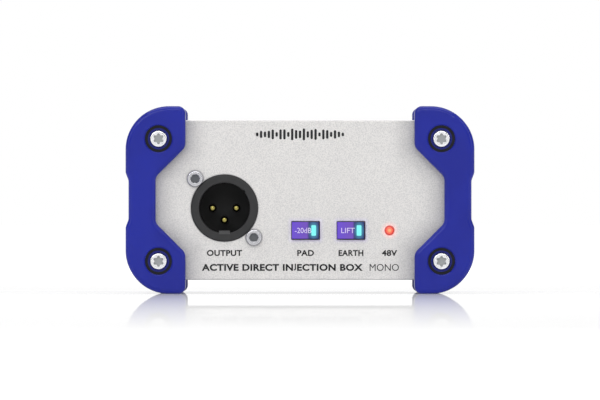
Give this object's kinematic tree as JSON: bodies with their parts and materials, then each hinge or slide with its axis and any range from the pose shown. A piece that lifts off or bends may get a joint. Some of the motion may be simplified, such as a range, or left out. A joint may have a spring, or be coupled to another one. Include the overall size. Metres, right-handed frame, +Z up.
{
  "type": "direct injection box",
  "caption": "Stage direct injection box: aluminium body with rubber corner bumpers, balanced output socket, pad and earth push buttons, power lamp, and jack input and link sockets.",
  "frame": {"origin": "on the ground, under the middle of the box", "axes": "+X to the right when facing the output panel, +Y from the output panel to the input panel, +Z up"},
  "size_m": [0.1122, 0.134, 0.0604],
  "materials": {
    "case_aluminium": "fine blasted silver anodising",
    "panel_aluminium": "fine grained silver anodising",
    "bumper_rubber": "satin blue moulded rubber",
    "corner_screw_steel": "bright plated",
    "socket_screw_steel": "bright plated",
    "nut_steel": "plated",
    "socket_shell": "satin dark grey",
    "socket_insert": "satin near black",
    "contact_gold": "gold plated",
    "button_violet": "tinted translucent violet",
    "light_cyan": "lit light guide",
    "plunger_white": "natural white",
    "switch_black": "black",
    "spring_steel": "spring wire",
    "tinned_lead": "tinned",
    "chip_lamp": "clear over white",
    "lamp_lens": "lit diffused red",
    "lamp_holder": "black",
    "board_laminate": "green solder mask over glass laminate",
    "jack_shell": "black moulded",
    "jack_nickel": "nickel plated",
    "contact_leaf": "plated spring bronze",
    "core_steel": "stacked laminations",
    "bobbin_nylon": "natural nylon",
    "winding_tape": "amber film tape over copper",
    "can_sleeve": "dark shrink sleeve",
    "film_case": "red potted case",
    "chip_epoxy": "black epoxy",
    "resistor_lacquer": "pale blue lacquer",
    "diode_glass": "clear glass"
  },
  "bodies": {
    "box": {"body_extrusion": "case_aluminium", "output_panel": "panel_aluminium", "input_panel": "panel_aluminium", "bumper_front_left": "bumper_rubber", "bumper_front_right": "bumper_rubber", "bumper_rear_left": "bumper_rubber", "bumper_rear_right": "bumper_rubber", "front_corner_screws": "corner_screw_steel", "rear_corner_screws": "corner_screw_steel", "xlr_screws": "socket_screw_steel", "xlr_nuts": "nut_steel", "xlr_housing": "socket_shell", "xlr_insert": "socket_insert", "xlr_pins": "contact_gold", "pad_return_spring": "spring_steel", "pad_switch_body": "switch_black", "pad_switch_terminals": "tinned_lead", "pad_indicator_led": "chip_lamp", "earth_return_spring": "spring_steel", "earth_switch_body": "switch_black", "earth_switch_terminals": "tinned_lead", "earth_indicator_led": "chip_lamp", "phantom_led": "lamp_lens", "phantom_led_leads": "tinned_lead", "phantom_led_holder": "lamp_holder", "input_jack_body": "jack_shell", "input_jack_nut": "jack_nickel", "input_jack_washer": "jack_nickel", "input_jack_terminals": "tinned_lead", "link_jack_body": "jack_shell", "link_jack_nut": "jack_nickel", "link_jack_washer": "jack_nickel", "link_jack_terminals": "tinned_lead", "transformer_core": "core_steel", "transformer_bobbin": "bobbin_nylon", "transformer_winding": "winding_tape", "transformer_pins": "tinned_lead", "large_electrolytic_capacitors": "can_sleeve", "small_electrolytic_capacitors": "can_sleeve", "film_capacitors": "film_case", "op_amp": "chip_epoxy", "transistors": "chip_epoxy", "op_amp_pins": "tinned_lead", "resistors": "resistor_lacquer", "zener_diodes": "diode_glass", "main_board": "board_laminate"},
    "pad_button": {"pad_button_cap": "button_violet", "pad_light_pipe": "light_cyan", "pad_plunger": "plunger_white"},
    "earth_button": {"earth_button_cap": "button_violet", "earth_light_pipe": "light_cyan", "earth_plunger": "plunger_white"},
    "input_contact": {"input_jack_tip_spring": "contact_leaf"},
    "link_contact": {"link_jack_tip_spring": "contact_leaf"}
  },
  "joints": [
    {"name": "pad_press", "type": "slide", "parent": "box", "child": "pad_button", "axis": [0, 1, 0], "range_m": [0, 0.002], "stiffness_N_per_m": 500, "springref_m": -0.002, "deforming": ["pad_return_spring"]},
    {"name": "earth_press", "type": "slide", "parent": "box", "child": "earth_button", "axis": [0, 1, 0], "range_m": [0, 0.002], "stiffness_N_per_m": 500, "springref_m": -0.002, "deforming": ["earth_return_spring"]},
    {"name": "input_contact_flex", "type": "hinge", "parent": "box", "child": "input_contact", "pos_m": [0.02, 0.0565, 0.0326], "axis": [-1, 0, 0], "range_deg": [0, 5], "stiffness_Nm_per_rad": 0.3, "springref_deg": -2.01},
    {"name": "link_contact_flex", "type": "hinge", "parent": "box", "child": "link_contact", "pos_m": [-0.02, 0.0565, 0.0326], "axis": [-1, 0, 0], "range_deg": [0, 5], "stiffness_Nm_per_rad": 0.3, "springref_deg": -2.01}
  ]
}
